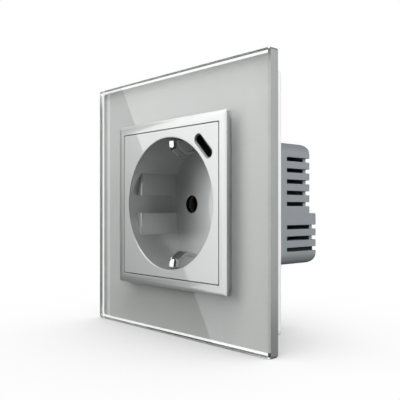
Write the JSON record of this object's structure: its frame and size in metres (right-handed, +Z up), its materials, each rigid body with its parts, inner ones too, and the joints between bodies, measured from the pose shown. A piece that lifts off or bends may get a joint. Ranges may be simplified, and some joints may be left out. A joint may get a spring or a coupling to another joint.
{
  "type": "wall socket",
  "caption": "Flush wall socket with a square glass panel, a round side-earthed recess, a small slanted charging port and a louvred rear housing.",
  "frame": {"origin": "middle of the socket in the plane of the wall, at the centre of the fixing slots", "axes": "+Z up, +X to the right seen from the room, +Y into the wall; the glass front faces -Y"},
  "size_m": [0.08, 0.041, 0.08],
  "materials": {
    "painted_glass": "polished clear sheet, back painted grey",
    "white_plastic": "fine moulded",
    "silver_plastic": "satin gloss",
    "housing_plastic": "fine spark texture",
    "plated_steel": "zinc plated",
    "nickel_plate": "bright nickel",
    "brass_sheet": "drawn",
    "base_plastic": "moulded",
    "black_plastic": "moulded",
    "board_laminate": "lacquered laminate",
    "ferrite_core": "ground ferrite",
    "winding_tape": "tape",
    "capacitor_sleeve": "shrunk sleeve"
  },
  "bodies": {
    "root": {"bezel": "silver_plastic", "board_pins": "brass_sheet", "bulk_capacitors": "capacitor_sleeve", "carrier_plate": "plated_steel", "charger_board": "board_laminate", "contact_base": "base_plastic", "earth_clamp": "brass_sheet", "earth_link": "brass_sheet", "earth_rivet": "brass_sheet", "earth_strap": "nickel_plate", "glass_panel": "painted_glass", "housing_screws": "plated_steel", "input_choke": "ferrite_core", "live_clamp": "brass_sheet", "live_contact": "brass_sheet", "neutral_clamp": "brass_sheet", "neutral_contact": "brass_sheet", "output_capacitor": "capacitor_sleeve", "panel_frame": "white_plastic", "rear_housing": "housing_plastic", "rectifier_bridge": "black_plastic", "socket_cup": "silver_plastic", "terminal_screws": "plated_steel", "transformer_core": "ferrite_core", "transformer_winding": "winding_tape", "usb_board": "board_laminate", "usb_shell": "plated_steel", "usb_tongue": "black_plastic"}
  },
  "joints": []
}
